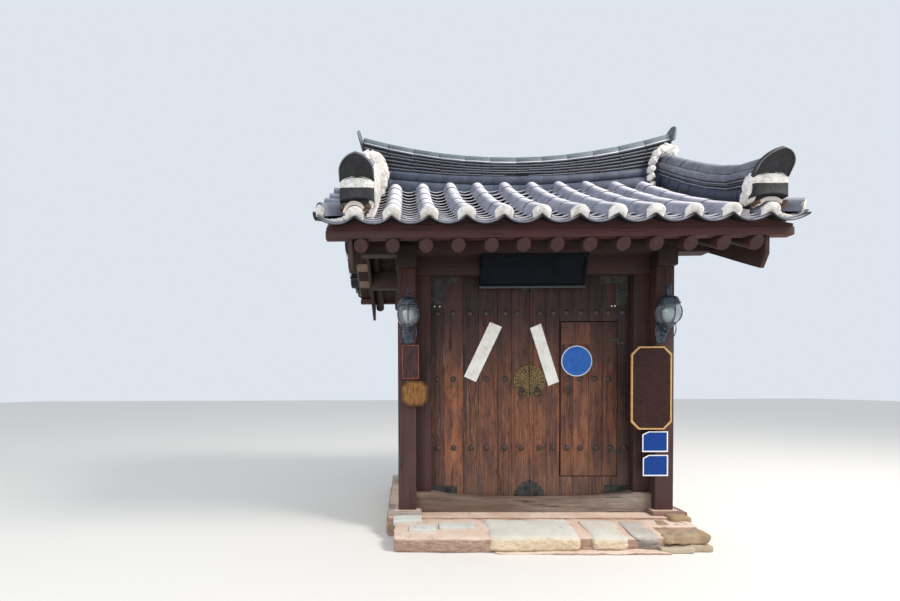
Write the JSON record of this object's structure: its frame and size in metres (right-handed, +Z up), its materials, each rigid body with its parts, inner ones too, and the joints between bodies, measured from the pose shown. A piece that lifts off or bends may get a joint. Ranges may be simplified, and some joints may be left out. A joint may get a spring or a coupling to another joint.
{
  "type": "hanok gatehouse",
  "caption": "Small Korean timber gatehouse with a tiled gable roof, swept ridges, a plank gate with a wicket, a hollowed threshold and a stone step.",
  "frame": {"origin": "on the ground, under the middle of the ridge, which is the centre of the underside of the bounding box", "axes": "+Z up, -Y towards the street, so the gate faces -Y, and +X to the right of a person who stands before the gate"},
  "size_m": [3.95, 3.2394, 4.2498],
  "materials": {
    "timber": "dark red-brown, weathered",
    "door_wood": "stained planks, worn",
    "roof_tile": "unglazed blue-grey fired clay with lime mortar",
    "plaster": "trowelled lime plaster",
    "granite": "rough dressed granite and mortar",
    "clay": "dry clay bedding",
    "black_lacquer": "painted board, semi-gloss",
    "iron": "dark painted metal"
  },
  "bodies": {
    "building": {"bargeboard_front_left": "timber", "bargeboard_front_right": "timber", "bargeboard_rear_left": "timber", "bargeboard_rear_right": "timber", "crossbeam_left": "timber", "crossbeam_right": "timber", "doorstep": "granite", "front_eave_board": "timber", "front_purlin": "timber", "front_rafters": "timber", "front_roof_bed": "clay", "front_tile_field": "roof_tile", "gable_panel_left": "plaster", "gable_panel_right": "plaster", "jamb_left": "timber", "jamb_right": "timber", "king_post_left": "timber", "king_post_right": "timber", "lantern_left": "iron", "lantern_right": "iron", "lintel": "timber", "main_ridge": "roof_tile", "name_board": "black_lacquer", "plinth": "granite", "post_front_left": "timber", "post_front_right": "timber", "post_rear_left": "timber", "post_rear_right": "timber", "rear_eave_board": "timber", "rear_purlin": "timber", "rear_rafters": "timber", "rear_roof_bed": "clay", "rear_tie_beam": "timber", "rear_tile_field": "roof_tile", "ridge_purlin": "timber", "side_rail_left": "timber", "side_rail_right": "timber", "side_ridge_front_left": "roof_tile", "side_ridge_front_right": "roof_tile", "side_ridge_rear_left": "roof_tile", "side_ridge_rear_right": "roof_tile", "side_wall_lower_left": "plaster", "side_wall_lower_right": "plaster", "side_wall_upper_left": "plaster", "side_wall_upper_right": "plaster", "threshold": "timber", "verge_board_front_left": "timber", "verge_board_front_right": "timber", "verge_board_rear_left": "timber", "verge_board_rear_right": "timber", "verge_tiles_front_left": "roof_tile", "verge_tiles_front_right": "roof_tile", "verge_tiles_rear_left": "roof_tile", "verge_tiles_rear_right": "roof_tile"},
    "left_leaf": {"door_leaf_left": "door_wood"},
    "right_leaf": {"door_leaf_right": "door_wood"},
    "wicket": {"wicket_door": "door_wood"}
  },
  "joints": [
    {"name": "left_leaf_hinge", "type": "hinge", "parent": "building", "child": "left_leaf", "pos_m": [-1.003, -0.579, 0], "axis": [0, 0, 1], "range_deg": [0, 90]},
    {"name": "right_leaf_hinge", "type": "hinge", "parent": "building", "child": "right_leaf", "pos_m": [1.003, -0.579, 0], "axis": [0, 0, -1], "range_deg": [0, 90]},
    {"name": "wicket_hinge", "type": "hinge", "parent": "right_leaf", "child": "wicket", "pos_m": [0.8635, -0.605, 0], "axis": [0, 0, 1], "range_deg": [0, 90]}
  ]
}
